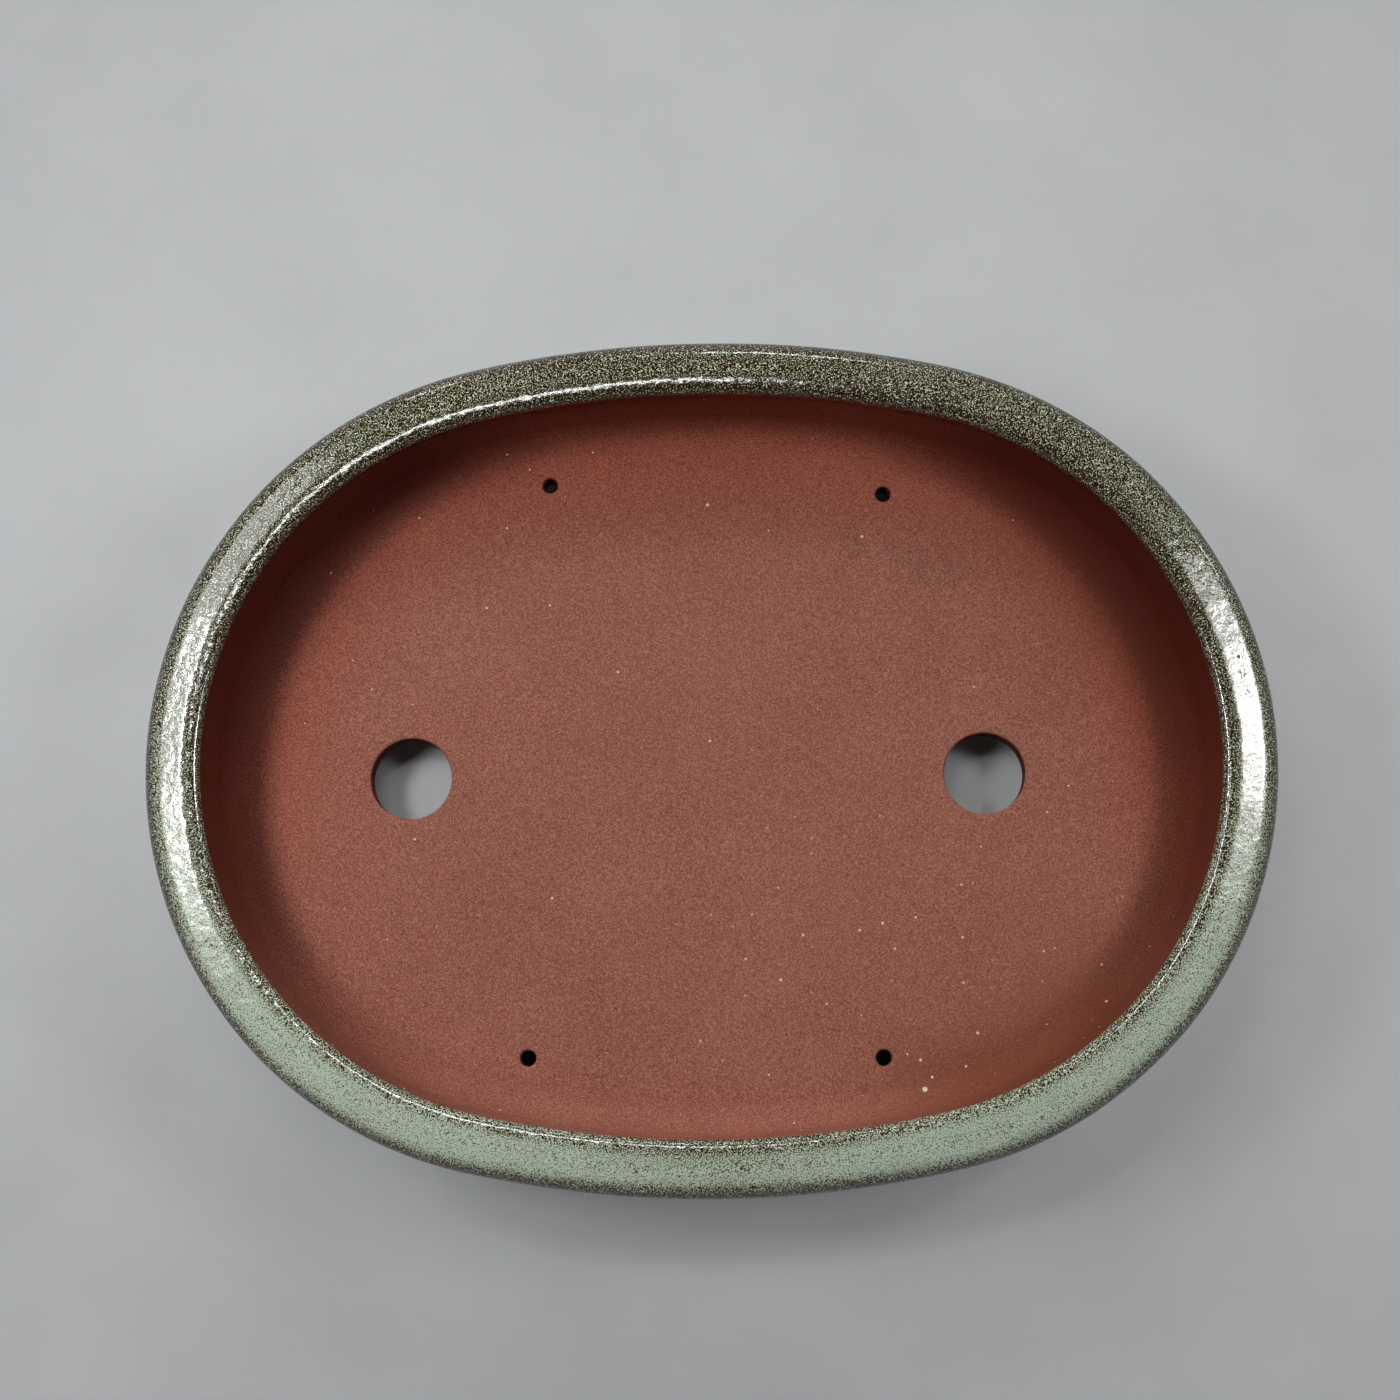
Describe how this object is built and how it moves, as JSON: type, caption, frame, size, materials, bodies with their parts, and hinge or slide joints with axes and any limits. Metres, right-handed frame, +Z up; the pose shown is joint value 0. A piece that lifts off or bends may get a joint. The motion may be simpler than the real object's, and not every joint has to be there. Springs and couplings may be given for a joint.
{
  "type": "forest bonsai pot",
  "caption": "Shallow oval stoneware tray pot for a bonsai forest planting, with a rolled, speckled green glazed rim, bare red clay inside, drain and wire holes and low cloud feet.",
  "frame": {"origin": "on the ground under the middle of the pot", "axes": "+X along the length to the right, +Y to the back, +Z up out of the mouth"},
  "size_m": [0.505, 0.385, 0.08],
  "materials": {
    "clay": "matt bare red-brown clay with a fine grain",
    "glaze": "glossy grey-green glaze, finely speckled, breaking to brown where it is thin"
  },
  "bodies": {
    "root": {"floor_slab": "clay", "wall_band": "clay", "corner_coil": "clay", "rim_roll": "clay", "glaze_coat": "glaze", "foot_front_left": "glaze", "foot_front_right": "glaze", "foot_back_left": "glaze", "foot_back_right": "glaze"}
  },
  "joints": []
}
